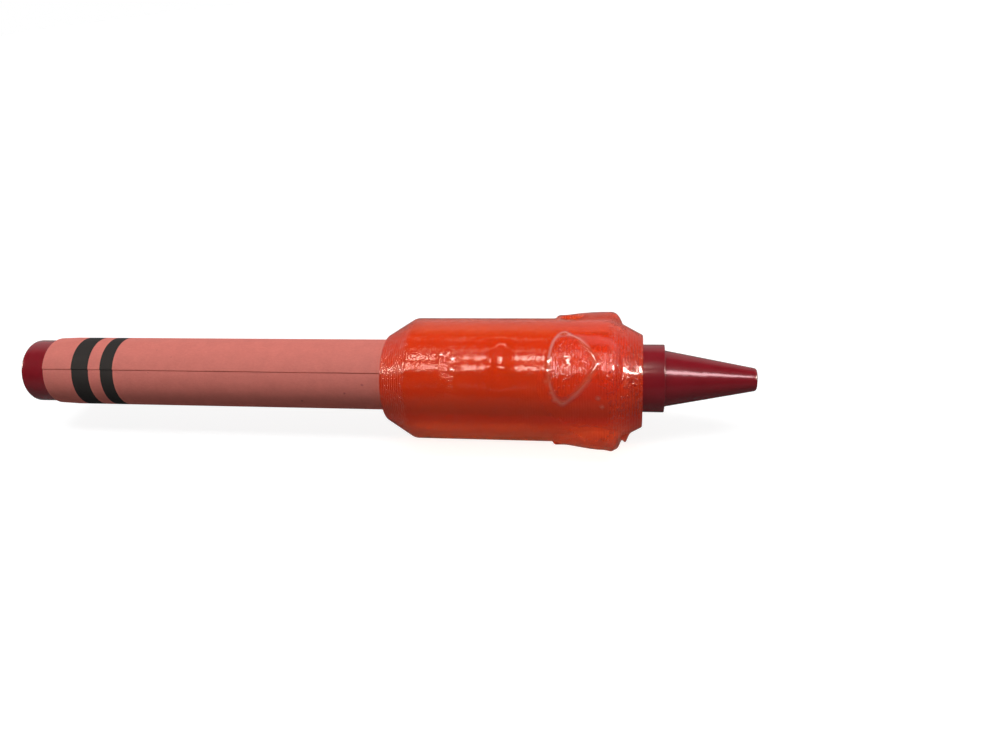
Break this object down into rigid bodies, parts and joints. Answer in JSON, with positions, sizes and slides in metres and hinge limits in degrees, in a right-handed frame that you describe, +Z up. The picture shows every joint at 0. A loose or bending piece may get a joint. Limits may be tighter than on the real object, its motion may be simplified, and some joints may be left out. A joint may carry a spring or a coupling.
{
  "type": "writing grip",
  "caption": "Printed plastic sleeve with chamfered ends and raised, dished finger pads, pushed over a paper-wrapped wax crayon that slides through its bore.",
  "frame": {"origin": "middle of the crayon's length and width, on the surface that the sleeve's lower finger pads stand on", "axes": "+X along the crayon from its flat base to its tip, +Z up, -Y towards the side with the wrapper's free edge"},
  "size_m": [0.092, 0.0158, 0.0158],
  "materials": {
    "orange_plastic": "glossy, slightly see-through printed plastic with fine layer lines",
    "red_wax": null,
    "pink_paper": "uncoated coloured paper with two plain black printed rings"
  },
  "bodies": {
    "grip": {"grip_sleeve": "orange_plastic"},
    "crayon": {"wax_stick": "red_wax", "paper_wrapper": "pink_paper"}
  },
  "joints": [
    {"name": "crayon_slide", "type": "slide", "parent": "grip", "child": "crayon", "axis": [1, 0, 0], "range_m": [-0.045, 0.08]}
  ]
}
